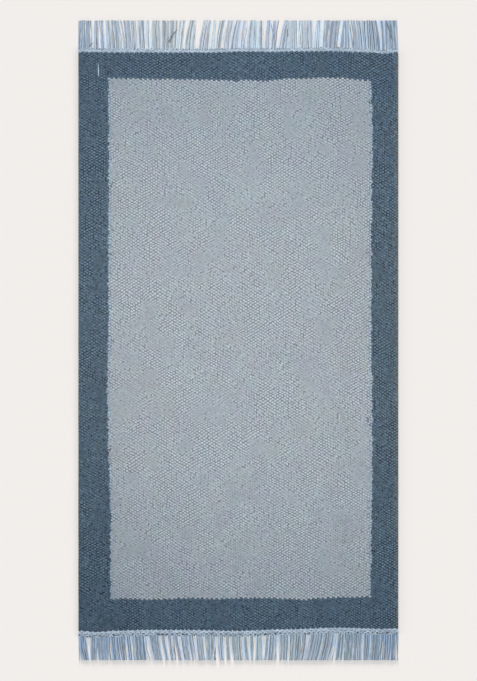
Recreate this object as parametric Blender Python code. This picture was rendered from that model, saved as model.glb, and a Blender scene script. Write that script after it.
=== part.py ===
# Flatweave rug laid flat: one woven cloth, with a heading and a cut warp fringe at each end.
# Metres, +Z up. The origin is on the floor under the rug's middle, and +Y runs along its length.

import random
from collections import namedtuple

import bmesh
import bpy

# Driving dimensions
MM = 0.001
RUG_WIDTH = 0.700
RUG_LENGTH = 1.400
CLOTH_THICKNESS = 0.005
HEADING_THICKNESS = 0.0042
TOP_HEADING_DEPTH = 0.008
BOTTOM_HEADING_DEPTH = 0.013
SEAM_GAP = 0.0003
WARP_PITCH = 0.0053
STRAND_FILL = 0.84
STRAND_TRIM = 0.0025
TRIM_SEED = 7

# How the cloth's ends and its dark border wander across the width, in millimetres from the middle
EndRow = namedtuple("EndRow", "x bottom_end field_bottom field_top top_end")
END_ROWS = [
    EndRow(-350, -635.4, -566.9, 573.0, 631.2),
    EndRow(-315, -638.6, -566.9, 573.0, 630.8),
    EndRow(-280, -635.6, -566.9, 573.0, 630.1),
    EndRow(-210, -633.8, -566.0, 572.8, 630.1),
    EndRow(-140, -634.0, -564.9, 571.2, 630.1),
    EndRow(-70, -634.2, -565.6, 569.5, 629.2),
    EndRow(0, -635.9, -564.2, 567.7, 631.8),
    EndRow(70, -633.0, -564.0, 569.3, 631.2),
    EndRow(140, -631.5, -565.8, 570.8, 632.5),
    EndRow(210, -628.8, -563.4, 574.3, 633.4),
    EndRow(280, -630.3, -561.6, 569.3, 630.3),
    EndRow(315, -631.3, -561.6, 567.0, 627.5),
    EndRow(350, -630.2, -561.6, 567.0, 631.2),
]
LEFT_COLUMN = 2
RIGHT_COLUMN = 10

# How the field's two sides wander along the length, in millimetres from the middle
SideRow = namedtuple("SideRow", "y field_left field_right")
SIDE_ROWS = [
    SideRow(-565, -280.0, 289.5),
    SideRow(-385, -280.0, 292.5),
    SideRow(-250, -284.6, 293.5),
    SideRow(-70, -286.7, 292.5),
    SideRow(0, -284.0, 291.5),
    SideRow(500, -284.0, 293.5),
    SideRow(570, -285.0, 290.0),
]

# The cloth's rounded edge, from its top face down: share of the thickness, and how far it is drawn in
EdgeRow = namedtuple("EdgeRow", "height inset")
EDGE_ROWS = [
    EdgeRow(1.00, 0.0015),
    EdgeRow(0.72, 0.0004),
    EdgeRow(0.30, 0.0),
    EdgeRow(0.00, 0.0006),
]

# Where the fringe parts: the place and width of each gap at the heading and at the cut tips, in millimetres
Parting = namedtuple("Parting", "root_x tip_x root_gap tip_gap")
TOP_PARTINGS = [
    Parting(-350, -349, 0.0, 0.0),
    Parting(-318, -318, 2.6, 5.7),
    Parting(-303, -305, 2.2, 2.0),
    Parting(-290, -293, 1.7, 3.9),
    Parting(-252, -260, 2.2, 2.4),
    Parting(-220, -222, 2.7, 4.4),
    Parting(-201, -204, 1.1, 3.9),
    Parting(-190, -192, 2.2, 6.6),
    Parting(-169, -170, 0.9, 2.2),
    Parting(-135, -130, 2.8, 4.8),
    Parting(-120, -111, 2.6, 8.3),
    Parting(-91, -83, 6.6, 17.5),
    Parting(-62, -56, 3.8, 4.9),
    Parting(-51, -45, 1.7, 5.7),
    Parting(-35, -25, 3.8, 4.8),
    Parting(-18, -7, 1.1, 4.2),
    Parting(2, 9, 1.3, 3.5),
    Parting(16, 23, 2.6, 4.8),
    Parting(42, 43, 1.3, 5.0),
    Parting(56, 59, 2.0, 6.1),
    Parting(69, 73, 1.1, 5.2),
    Parting(86, 93, 3.5, 17.5),
    Parting(132, 132, 0.9, 1.7),
    Parting(164, 167, 1.3, 7.2),
    Parting(181, 184, 2.2, 5.9),
    Parting(220, 227, 3.1, 3.9),
    Parting(246, 241, 1.3, 2.2),
    Parting(350, 347, 0.0, 0.0),
]
BOTTOM_PARTINGS = [
    Parting(-350, -349, 0.0, 0.0),
    Parting(-328, -324, 10.1, 3.1),
    Parting(-234, -230, 1.7, 1.3),
    Parting(-200, -190, 4.8, 4.8),
    Parting(-171, -163, 2.0, 5.2),
    Parting(-158, -150, 4.8, 1.5),
    Parting(-146, -138, 1.1, 3.5),
    Parting(-129, -120, 4.8, 2.6),
    Parting(-96, -90, 2.8, 1.7),
    Parting(-76, -70, 3.1, 1.3),
    Parting(-47, -45, 2.6, 6.6),
    Parting(-30, -28, 2.8, 5.2),
    Parting(-18, -14, 3.3, 7.9),
    Parting(9, 13, 2.6, 2.0),
    Parting(22, 26, 3.3, 1.7),
    Parting(36, 35, 2.8, 3.9),
    Parting(57, 54, 6.1, 1.5),
    Parting(87, 86, 2.2, 6.3),
    Parting(111, 109, 1.1, 3.3),
    Parting(154, 144, 5.0, 1.3),
    Parting(215, 208, 1.7, 5.2),
    Parting(273, 271, 0.9, 3.3),
    Parting(291, 287, 0.9, 2.2),
    Parting(350, 349, 0.0, 0.0),
]

# A strand's sections past its root: share of its length, share of its sideways lean, and its thickness
StrandRow = namedtuple("StrandRow", "along lean thickness")
STRAND_ROWS = [
    StrandRow(0.40, 0.28, 0.0034),
    StrandRow(1.00, 1.00, 0.0024),
]

# Colours of the yarns as seen, from 0 to 255
BORDER_BLUE = (80, 98, 113)
FIELD_GREY = (162, 170, 178)
FRINGE_GREY = (170, 183, 196)
WOOL_ROUGHNESS = 0.95

Strand = namedtuple("Strand", "root_x tip_x root_width tip_width tip_y")


def linear(value):
    share = value / 255
    return share / 12.92 if share <= 0.04045 else ((share + 0.055) / 1.055) ** 2.4


def wool(name, colour):
    material = bpy.data.materials.new(name)
    material.use_nodes = True
    shader = material.node_tree.nodes["Principled BSDF"]
    shader.inputs["Base Color"].default_value = (*[linear(value) for value in colour], 1.0)
    shader.inputs["Roughness"].default_value = WOOL_ROUGHNESS
    shader.inputs["Metallic"].default_value = 0.0
    return material


def finish(name, mesh, materials, parent):
    bmesh.ops.recalc_face_normals(mesh, faces=mesh.faces)
    data = bpy.data.meshes.new(name)
    mesh.to_mesh(data)
    mesh.free()
    for material in materials:
        data.materials.append(material)
    item = bpy.data.objects.new(name, data)
    item.parent = parent
    bpy.context.collection.objects.link(item)
    return item


# Woven cloth

def across(y_of, side):
    # One row of points across the cloth. Its two field columns stand on the field's real sides.
    row = [[end.x, y_of(end)] for end in END_ROWS]
    if side:
        row[LEFT_COLUMN][0] = side.field_left
        row[RIGHT_COLUMN][0] = side.field_right
    return row


def cloth_rows():
    rows = [across(lambda end: end.bottom_end, None)]
    rows.append(across(lambda end: end.field_bottom, SIDE_ROWS[0]))
    for side in SIDE_ROWS[1:-1]:
        rows.append(across(lambda end, y=side.y: y, side))
    rows.append(across(lambda end: end.field_top, SIDE_ROWS[-1]))
    rows.append(across(lambda end: end.top_end, None))
    return rows


def drawn_in(rows, row, column, inset):
    # The plan place of a grid point, in metres, moved in where it lies on the cloth's outline.
    x, y = (value * MM for value in rows[row][column])
    if column in (0, len(rows[0]) - 1):
        x -= inset if x > 0 else -inset
    if row in (0, len(rows) - 1):
        y -= inset if y > 0 else -inset
    return x, y


def outline(last_row, last_column):
    # Grid places round the cloth, anticlockwise from the bottom left corner.
    places = [(0, column) for column in range(last_column)]
    places += [(row, last_column) for row in range(last_row)]
    places += [(last_row, column) for column in range(last_column, 0, -1)]
    places += [(row, 0) for row in range(last_row, 0, -1)]
    return places


def woven_cloth(border, field, parent):
    mesh = bmesh.new()
    rows = cloth_rows()
    last_row = len(rows) - 1
    last_column = len(rows[0]) - 1
    loops = []
    for edge in (EDGE_ROWS[0], EDGE_ROWS[-1]):
        height = edge.height * CLOTH_THICKNESS
        grid = {}
        for row in range(last_row + 1):
            for column in range(last_column + 1):
                x, y = drawn_in(rows, row, column, edge.inset)
                grid[row, column] = mesh.verts.new((x, y, height))
        for row in range(last_row):
            for column in range(last_column):
                corners = ((row, column), (row, column + 1), (row + 1, column + 1), (row + 1, column))
                face = mesh.faces.new([grid[corner] for corner in corners])
                in_field = 0 < row < last_row - 1 and LEFT_COLUMN <= column < RIGHT_COLUMN
                face.material_index = int(in_field)
        loops.append([grid[place] for place in outline(last_row, last_column)])
    top_loop, floor_loop = loops
    edge_loops = [top_loop]
    for edge in EDGE_ROWS[1:-1]:
        places = [drawn_in(rows, row, column, edge.inset) for row, column in outline(last_row, last_column)]
        edge_loops.append([mesh.verts.new((x, y, edge.height * CLOTH_THICKNESS)) for x, y in places])
    edge_loops.append(floor_loop)
    for upper, lower in zip(edge_loops, edge_loops[1:]):
        for number in range(len(upper)):
            after = (number + 1) % len(upper)
            mesh.faces.new((upper[number], lower[number], lower[after], upper[after]))
    return finish("woven_cloth", mesh, [border, field], parent)


# Headings and fringes

def end_line(x, end_of):
    # How far along the length the cloth ends at this place across its width, in metres.
    for left, right in zip(END_ROWS, END_ROWS[1:]):
        if left.x * MM <= x <= right.x * MM:
            share = (x / MM - left.x) / (right.x - left.x)
            return (end_of(left) + share * (end_of(right) - end_of(left))) * MM
    return end_of(END_ROWS[-1]) * MM


def fringe_strands(partings, seed):
    # One strand for each warp, spread evenly between the partings.
    draw = random.Random(seed)
    strands = []
    for left, right in zip(partings, partings[1:]):
        root_left = (left.root_x + left.root_gap / 2) * MM
        tip_left = (left.tip_x + left.tip_gap / 2) * MM
        root_span = (right.root_x - right.root_gap / 2) * MM - root_left
        tip_span = (right.tip_x - right.tip_gap / 2) * MM - tip_left
        count = max(1, round(root_span / WARP_PITCH))
        for number in range(count):
            share = (number + 0.5) / count
            trim = max(0.0, draw.uniform(-STRAND_TRIM / 2, STRAND_TRIM))
            strands.append(Strand(
                root_left + share * root_span,
                tip_left + share * tip_span,
                STRAND_FILL * root_span / count,
                STRAND_FILL * tip_span / count,
                RUG_LENGTH / 2 - trim,
            ))
    return strands


def inner_places(strands):
    # One place for each strand along the heading's woven side. It moves to a bend of the cloth's end.
    places = []
    for strand in strands:
        bends = [end.x * MM for end in END_ROWS if abs(end.x * MM - strand.root_x) < WARP_PITCH / 2]
        places.append(bends[0] if bends else strand.root_x)
    return [-RUG_WIDTH / 2, *places, RUG_WIDTH / 2]


def draw_strand(mesh, root, strand, outer_y, direction):
    # root holds the four points where the strand leaves the heading: left and right, floor then top.
    ring = root
    for row in STRAND_ROWS:
        centre = strand.root_x + row.lean * (strand.tip_x - strand.root_x)
        half = (strand.root_width + row.lean * (strand.tip_width - strand.root_width)) / 2
        y = direction * (outer_y + row.along * (strand.tip_y - outer_y))
        left = centre - half
        right = centre + half
        after = [mesh.verts.new(place) for place in (
            (left, y, 0.0), (right, y, 0.0), (right, y, row.thickness), (left, y, row.thickness),
        )]
        for number in range(4):
            following = (number + 1) % 4
            mesh.faces.new((ring[number], ring[following], after[following], after[number]))
        ring = after
    mesh.faces.new(ring)


def fringe(name, direction, depth, end_of, partings, material, parent):
    mesh = bmesh.new()
    strands = fringe_strands(partings, TRIM_SEED + direction)

    def point(x, inner, height):
        y = end_line(x, end_of)
        reach = SEAM_GAP if inner else depth
        return mesh.verts.new((x, y + direction * reach, height))

    inner = [[point(x, True, height) for height in (0.0, HEADING_THICKNESS)] for x in inner_places(strands)]
    outer_places = [-RUG_WIDTH / 2]
    for strand in strands:
        outer_places += [strand.root_x - strand.root_width / 2, strand.root_x + strand.root_width / 2]
    outer_places.append(RUG_WIDTH / 2)
    outer = [[point(x, False, height) for height in (0.0, HEADING_THICKNESS)] for x in outer_places]
    for before, after in zip(inner, inner[1:]):
        mesh.faces.new((before[0], before[1], after[1], after[0]))
    for level in (0, 1):
        for number in range(len(strands)):
            left = outer[2 * number + 1][level]
            right = outer[2 * number + 2][level]
            mesh.faces.new((inner[number + 1][level], left, right))
        for number in range(len(strands) + 1):
            left = outer[2 * number][level]
            right = outer[2 * number + 1][level]
            mesh.faces.new((inner[number][level], left, right, inner[number + 1][level]))
    for number in range(len(strands) + 1):
        left = outer[2 * number]
        right = outer[2 * number + 1]
        mesh.faces.new((left[0], left[1], right[1], right[0]))
    for inner_end, outer_end in ((inner[0], outer[0]), (inner[-1], outer[-1])):
        mesh.faces.new((inner_end[0], inner_end[1], outer_end[1], outer_end[0]))
    for number, strand in enumerate(strands):
        left = outer[2 * number + 1]
        right = outer[2 * number + 2]
        outer_y = direction * left[0].co.y
        draw_strand(mesh, [left[0], right[0], right[1], left[1]], strand, outer_y, direction)
    return finish(name, mesh, [material], parent)


def main():
    for item in list(bpy.data.objects):
        bpy.data.objects.remove(item, do_unlink=True)
    rug = bpy.data.objects.new("flatweave_rug", None)
    bpy.context.collection.objects.link(rug)
    border = wool("border_wool", BORDER_BLUE)
    field = wool("field_wool", FIELD_GREY)
    fringe_wool = wool("fringe_wool", FRINGE_GREY)
    woven_cloth(border, field, rug)
    fringe("fringe_top", 1, TOP_HEADING_DEPTH, lambda end: end.top_end, TOP_PARTINGS, fringe_wool, rug)
    fringe(
        "fringe_bottom", -1, BOTTOM_HEADING_DEPTH, lambda end: end.bottom_end, BOTTOM_PARTINGS, fringe_wool, rug
    )


main()
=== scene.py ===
# Flatweave rug: the woven cloth, its two headings and the cut warp fringe, laid flat on a pale floor.
import math
from collections import namedtuple

import bpy
import numpy as np
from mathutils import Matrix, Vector


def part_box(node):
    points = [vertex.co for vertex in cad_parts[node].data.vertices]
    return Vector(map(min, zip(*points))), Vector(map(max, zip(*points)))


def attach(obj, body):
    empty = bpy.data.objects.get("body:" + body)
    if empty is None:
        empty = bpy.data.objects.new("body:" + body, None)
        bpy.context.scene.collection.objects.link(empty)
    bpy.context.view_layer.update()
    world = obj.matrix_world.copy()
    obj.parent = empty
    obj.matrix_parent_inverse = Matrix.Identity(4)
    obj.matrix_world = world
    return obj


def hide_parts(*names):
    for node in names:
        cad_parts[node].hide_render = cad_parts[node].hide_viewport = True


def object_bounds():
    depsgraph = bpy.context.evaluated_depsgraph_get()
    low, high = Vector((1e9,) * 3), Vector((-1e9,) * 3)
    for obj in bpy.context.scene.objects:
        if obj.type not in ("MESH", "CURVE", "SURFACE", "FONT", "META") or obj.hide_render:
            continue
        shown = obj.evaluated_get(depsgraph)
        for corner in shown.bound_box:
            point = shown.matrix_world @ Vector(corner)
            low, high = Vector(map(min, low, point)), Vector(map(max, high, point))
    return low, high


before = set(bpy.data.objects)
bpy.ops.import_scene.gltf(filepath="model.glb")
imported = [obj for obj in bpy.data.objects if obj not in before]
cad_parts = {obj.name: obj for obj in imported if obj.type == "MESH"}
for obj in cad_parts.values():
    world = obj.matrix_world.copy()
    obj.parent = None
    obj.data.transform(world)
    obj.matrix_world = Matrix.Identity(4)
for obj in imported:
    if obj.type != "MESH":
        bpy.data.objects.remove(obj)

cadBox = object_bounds()
mm = 0.001

# How the cloth's ends and its dark border wander across the width, in millimetres from the middle
endRow = namedtuple("endRow", "x bottomEnd fieldBottom fieldTop topEnd")
endRows = [endRow(*row) for row in (
    (-350, -635.4, -566.9, 573.0, 631.2),
    (-315, -638.6, -566.9, 573.0, 630.8),
    (-280, -635.6, -566.9, 573.0, 630.1),
    (-210, -633.8, -566.0, 572.8, 630.1),
    (-140, -634.0, -564.9, 571.2, 630.1),
    (-70, -634.2, -565.6, 569.5, 629.2),
    (0, -635.9, -564.2, 567.7, 631.8),
    (70, -633.0, -564.0, 569.3, 631.2),
    (140, -631.5, -565.8, 570.8, 632.5),
    (210, -628.8, -563.4, 574.3, 633.4),
    (280, -630.3, -561.6, 569.3, 630.3),
    (315, -631.3, -561.6, 567.0, 627.5),
    (350, -630.2, -561.6, 567.0, 631.2),
)]

# How the field's two sides wander along the length, in millimetres from the middle
sideRow = namedtuple("sideRow", "y fieldLeft fieldRight")
sideRows = [sideRow(*row) for row in (
    (-565, -280.0, 289.5),
    (-385, -280.0, 292.5),
    (-250, -284.6, 293.5),
    (-70, -286.7, 292.5),
    (0, -284.0, 291.5),
    (500, -284.0, 293.5),
    (570, -285.0, 290.0),
)]

# Where the fringe parts: each gap's place and width at the heading and at the cut tips, in millimetres
parting = namedtuple("parting", "rootX tipX rootGap tipGap")
topPartings = [parting(*row) for row in (
    (-350, -349, 0.0, 0.0),
    (-318, -318, 2.6, 5.7),
    (-303, -305, 2.2, 2.0),
    (-290, -293, 1.7, 3.9),
    (-252, -260, 2.2, 2.4),
    (-220, -222, 2.7, 4.4),
    (-201, -204, 1.1, 3.9),
    (-190, -192, 2.2, 6.6),
    (-169, -170, 0.9, 2.2),
    (-135, -130, 2.8, 4.8),
    (-120, -111, 2.6, 8.3),
    (-91, -83, 6.6, 17.5),
    (-62, -56, 3.8, 4.9),
    (-51, -45, 1.7, 5.7),
    (-35, -25, 3.8, 4.8),
    (-18, -7, 1.1, 4.2),
    (2, 9, 1.3, 3.5),
    (16, 23, 2.6, 4.8),
    (42, 43, 1.3, 5.0),
    (56, 59, 2.0, 6.1),
    (69, 73, 1.1, 5.2),
    (86, 93, 3.5, 17.5),
    (132, 132, 0.9, 1.7),
    (164, 167, 1.3, 7.2),
    (181, 184, 2.2, 5.9),
    (220, 227, 3.1, 3.9),
    (246, 241, 1.3, 2.2),
    (350, 347, 0.0, 0.0),
)]
bottomPartings = [parting(*row) for row in (
    (-350, -349, 0.0, 0.0),
    (-328, -324, 10.1, 3.1),
    (-234, -230, 1.7, 1.3),
    (-200, -190, 4.8, 4.8),
    (-171, -163, 2.0, 5.2),
    (-158, -150, 4.8, 1.5),
    (-146, -138, 1.1, 3.5),
    (-129, -120, 4.8, 2.6),
    (-96, -90, 2.8, 1.7),
    (-76, -70, 3.1, 1.3),
    (-47, -45, 2.6, 6.6),
    (-30, -28, 2.8, 5.2),
    (-18, -14, 3.3, 7.9),
    (9, 13, 2.6, 2.0),
    (22, 26, 3.3, 1.7),
    (36, 35, 2.8, 3.9),
    (57, 54, 6.1, 1.5),
    (87, 86, 2.2, 6.3),
    (111, 109, 1.1, 3.3),
    (154, 144, 5.0, 1.3),
    (215, 208, 1.7, 5.2),
    (273, 271, 0.9, 3.3),
    (291, 287, 0.9, 2.2),
    (350, 349, 0.0, 0.0),
)]

clothLow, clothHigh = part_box("woven_cloth")
rugWidth = clothHigh.x - clothLow.x
rugLength = cadBox[1][1] - cadBox[0][1]
lumpSpan = 1.2  # how far random fields reach, in widths and lengths of the rug


def linear(value):
    # One channel of a colour as seen, 0 to 255, as the light it stands for
    share = value / 255
    return share / 12.92 if share <= 0.04045 else ((share + 0.055) / 1.055) ** 2.4


def seen(red, green, blue):
    return (linear(red), linear(green), linear(blue), 1.0)


def readLine(rows, line, places):
    # One of the lines in these rows, read at these places, in metres
    return np.interp(places, [row[0] * mm for row in rows], [getattr(row, line) * mm for row in rows])


def makeLumps(draw, size):
    # A smooth random field over the rug, from -1 to 1, with lumps of about this size
    columns = int(lumpSpan * rugWidth / size) + 3
    rows = int(lumpSpan * rugLength / size) + 3
    grid = draw.uniform(-1, 1, (columns, rows))

    def read(x, y):
        across = np.clip((x + lumpSpan / 2 * rugWidth) / size, 0, columns - 1.001)
        along = np.clip((y + lumpSpan / 2 * rugLength) / size, 0, rows - 1.001)
        column = across.astype(int)
        row = along.astype(int)
        across = across - column
        along = along - row
        across = across * across * (3 - 2 * across)
        along = along * along * (3 - 2 * along)
        low = grid[column, row] * (1 - across) + grid[column + 1, row] * across
        high = grid[column, row + 1] * (1 - across) + grid[column + 1, row + 1] * across
        return low * (1 - along) + high * along

    return read


def unit(vectors):
    return vectors / np.linalg.norm(vectors, axis=-1, keepdims=True)


def asRows(*parts):
    # One row for each place, from the arrays of its parts
    return np.stack(parts, -1).reshape(-1, len(parts))


# Shader groups that the wools share

def makeGroup(name, inputs, outputs):
    # Gives the group, the sockets that its nodes read and those that they feed
    kinds = {1: "NodeSocketFloat", 3: "NodeSocketVector", 4: "NodeSocketColor"}  # by a value's length
    group = bpy.data.node_groups.new(name, "ShaderNodeTree")
    for way, sockets in (("INPUT", inputs), ("OUTPUT", outputs)):
        for label, value in sockets.items():
            kind = kinds[np.size(value)]
            socket = group.interface.new_socket(name=label, in_out=way, socket_type=kind)
            socket.default_value = value
    given = group.nodes.new("NodeGroupInput").outputs
    result = group.nodes.new("NodeGroupOutput").inputs
    return group, given, result


def addMath(group, operation, *values):
    node = group.nodes.new("ShaderNodeMath")
    node.operation = operation
    for socket, value in zip(node.inputs, values):
        if isinstance(value, (int, float)):
            socket.default_value = value
        else:
            group.links.new(value, socket)
    return node.outputs[0]


def multiplyVectors(group, first, second):
    node = group.nodes.new("ShaderNodeVectorMath")
    node.operation = "MULTIPLY"
    group.links.new(first, node.inputs[0])
    group.links.new(second, node.inputs[1])
    return node.outputs[0]


def addNoise(group, vector, stretch, detail):
    node = group.nodes.new("ShaderNodeTexNoise")
    node.inputs["Scale"].default_value = 1.0
    node.inputs["Detail"].default_value = detail
    node.inputs["Roughness"].default_value = 0.6
    group.links.new(multiplyVectors(group, vector, stretch), node.inputs["Vector"])
    return node.outputs["Fac"]


def makeYarnTwist():
    # Height of the plies' slanted ridges and of the loose fibres on them
    group, given, result = makeGroup("yarnTwist", {
        "Vector": (0.0, 0.0, 0.0),
        "Ridges Across": 300.0,
        "Ridges Along": 300.0,
        "Fibre Stretch": (1.0, 1.0, 1.0),
        "Fibre Share": 0.5,
    }, {"Height": 0.0})
    place = group.nodes.new("ShaderNodeSeparateXYZ")
    group.links.new(given["Vector"], place.inputs[0])
    across = addMath(group, "MULTIPLY", place.outputs["X"], given["Ridges Across"])
    along = addMath(group, "MULTIPLY", place.outputs["Y"], given["Ridges Along"])
    turns = addMath(group, "ADD", across, along)
    wave = addMath(group, "SINE", addMath(group, "MULTIPLY", turns, math.pi))
    ridge = addMath(group, "ABSOLUTE", wave)
    fibre = addNoise(group, given["Vector"], given["Fibre Stretch"], 3.0)
    blend = group.nodes.new("ShaderNodeMix")
    group.links.new(given["Fibre Share"], blend.inputs["Factor"])
    group.links.new(ridge, blend.inputs["A"])
    group.links.new(fibre, blend.inputs["B"])
    group.links.new(blend.outputs["Result"], result["Height"])
    return group


def makeYarnToneAndShade():
    # The yarn's colour: its uneven dye, painted shade in its hollows and on its unlit sides, and the
    # change from float to float.
    # A higher hue is warmer and a lower one bluer. A higher tint is greener.
    group, given, result = makeGroup("yarnToneAndShade", {
        "Vector": (0.0, 0.0, 0.0),
        "Yarn Color": (0.5, 0.5, 0.5, 1.0),
        "Tone": 0.5,
        "Hue": 0.5,
        # Painted light: 1 where the yarn is painted lit, 0 where it is painted in shade
        "Painted Light": 1.0,
        "Painted Hollow Light": 0.6,
        "Hue Reach": 0.1,
        "Mottle": 0.1,
        "Mottle Scale": (400.0, 400.0, 400.0),
        "Tint": 0.5,
    }, {"Color": (1.0, 1.0, 1.0, 1.0), "Roughness": 1.0})
    mottle = addNoise(group, given["Vector"], given["Mottle Scale"], 1.0)
    uneven = addMath(group, "SUBTRACT", mottle, 0.5)
    dye = addMath(group, "MULTIPLY_ADD", uneven, given["Mottle"], 1.0)
    # Painted shade: the less painted light, the darker the yarn, down to the painted hollow light
    hollow = group.nodes.new("ShaderNodeMapRange")
    group.links.new(given["Painted Light"], hollow.inputs["Value"])
    group.links.new(given["Painted Hollow Light"], hollow.inputs["To Min"])
    tone = addMath(group, "ADD", given["Tone"], 0.5)
    light = addMath(group, "MULTIPLY", addMath(group, "MULTIPLY", dye, tone), hollow.outputs["Result"])
    hue = addMath(group, "SUBTRACT", given["Hue"], 0.5)
    shift = addMath(group, "MULTIPLY", hue, given["Hue Reach"])
    shades = {
        "X": addMath(group, "ADD", 1.0, shift),
        "Y": addMath(group, "MULTIPLY_ADD", given["Tint"], 0.1, 0.95),
        "Z": addMath(group, "SUBTRACT", 1.0, shift),
    }
    channels = group.nodes.new("ShaderNodeCombineXYZ")
    for channel, shade in shades.items():
        group.links.new(addMath(group, "MULTIPLY", light, shade), channels.inputs[channel])
    color = multiplyVectors(group, given["Yarn Color"], channels.outputs["Vector"])
    group.links.new(color, result["Color"])
    roughness = addMath(group, "MULTIPLY_ADD", mottle, -0.16, 1.0)
    group.links.new(roughness, result["Roughness"])
    return group


yarnTwist = makeYarnTwist()
yarnToneAndShade = makeYarnToneAndShade()

woolFinish = {
    "bump": 0.35,
    "bumpDepth": 0.5 * mm,
    "sheen": 0.12,
    "specular": 0.2,
}
# What each wool gives to the inputs of the two groups
borderWoolLook = {
    "Yarn Color": seen(119, 143, 163),
    # Painted shade: how light the hollows and unlit sides stay, 0 for black
    "Painted Hollow Light": 0.0,
    "Hue Reach": 0.2,
    "Mottle": 1.2,
    "Mottle Scale": (150.0, 320.0, 200.0),
    "Ridges Across": 150.0,
    "Ridges Along": 620.0,
    "Fibre Stretch": (500.0, 2600.0, 1500.0),
    "Fibre Share": 0.45,
}
fieldWoolLook = {
    **borderWoolLook,
    "Yarn Color": seen(208, 219, 229),
    "Painted Hollow Light": 0.18,
    "Hue Reach": 0.1,
    "Mottle": 0.5,
}
warpWoolLook = {
    **borderWoolLook,
    "Yarn Color": seen(202, 221, 240),
    "Painted Hollow Light": 0.3,
    "Hue Reach": 0.12,
    "Mottle": 0.45,
    "Mottle Scale": (400.0, 130.0, 300.0),
    "Ridges Across": 420.0,
    "Ridges Along": 260.0,
    "Fibre Stretch": (2600.0, 500.0, 1500.0),
}


def makeWool(name, look):
    material = bpy.data.materials.new(name)
    material.use_nodes = True
    tree = material.node_tree
    shader = tree.nodes["Principled BSDF"]
    shader.inputs["Specular IOR Level"].default_value = woolFinish["specular"]
    shader.inputs["Sheen Weight"].default_value = woolFinish["sheen"]
    shader.inputs["Sheen Roughness"].default_value = 0.5
    place = tree.nodes.new("ShaderNodeTexCoord")
    yarn = tree.nodes.new("ShaderNodeAttribute")
    yarn.attribute_name = "yarn"
    parts = tree.nodes.new("ShaderNodeSeparateColor")
    tone = tree.nodes.new("ShaderNodeGroup")
    tone.node_tree = yarnToneAndShade
    twist = tree.nodes.new("ShaderNodeGroup")
    twist.node_tree = yarnTwist
    for label, value in look.items():
        node = tone if label in tone.inputs else twist
        node.inputs[label].default_value = value
    bump = tree.nodes.new("ShaderNodeBump")
    bump.inputs["Strength"].default_value = woolFinish["bump"]
    bump.inputs["Distance"].default_value = woolFinish["bumpDepth"]
    for output, socket in (
        (yarn.outputs["Color"], parts.inputs["Color"]),
        (place.outputs["Object"], tone.inputs["Vector"]),
        (parts.outputs["Red"], tone.inputs["Tone"]),
        (parts.outputs["Green"], tone.inputs["Hue"]),
        # painted light and shade, from the yarn attribute
        (parts.outputs["Blue"], tone.inputs["Painted Light"]),
        (yarn.outputs["Alpha"], tone.inputs["Tint"]),
        (tone.outputs["Color"], shader.inputs["Base Color"]),
        (tone.outputs["Roughness"], shader.inputs["Roughness"]),
        (place.outputs["Object"], twist.inputs["Vector"]),
        (twist.outputs["Height"], bump.inputs["Height"]),
        (bump.outputs["Normal"], shader.inputs["Normal"]),
    ):
        tree.links.new(output, socket)
    return material


borderWool = makeWool("borderWool", borderWoolLook)
fieldWool = makeWool("fieldWool", fieldWoolLook)
warpWool = makeWool("warpWool", warpWoolLook)
print("wools: border, field and warp")


def addObject(name, data):
    item = bpy.data.objects.new(name, data)
    bpy.context.scene.collection.objects.link(item)
    return item


def makePiece(name, points, triangles, yarn, materials, faceMaterial=None):
    # yarn holds tone, hue, painted light (painted shade in hollows and on unlit sides) and tint for each
    # corner of each triangle
    mesh = bpy.data.meshes.new(name)
    mesh.from_pydata(points.tolist(), [], triangles.tolist())
    for material in materials:
        mesh.materials.append(material)
    if faceMaterial is not None:
        mesh.polygons.foreach_set("material_index", faceMaterial.astype(np.int32))
    mesh.polygons.foreach_set("use_smooth", np.ones(len(triangles), bool))
    layer = mesh.color_attributes.new(name="yarn", type="FLOAT_COLOR", domain="CORNER")
    layer.data.foreach_set("color", yarn.astype(np.float32).ravel())
    mesh.update()
    print(name, len(points), "points,", len(triangles), "triangles")
    return addObject(name, mesh)


# Woven cloth

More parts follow.
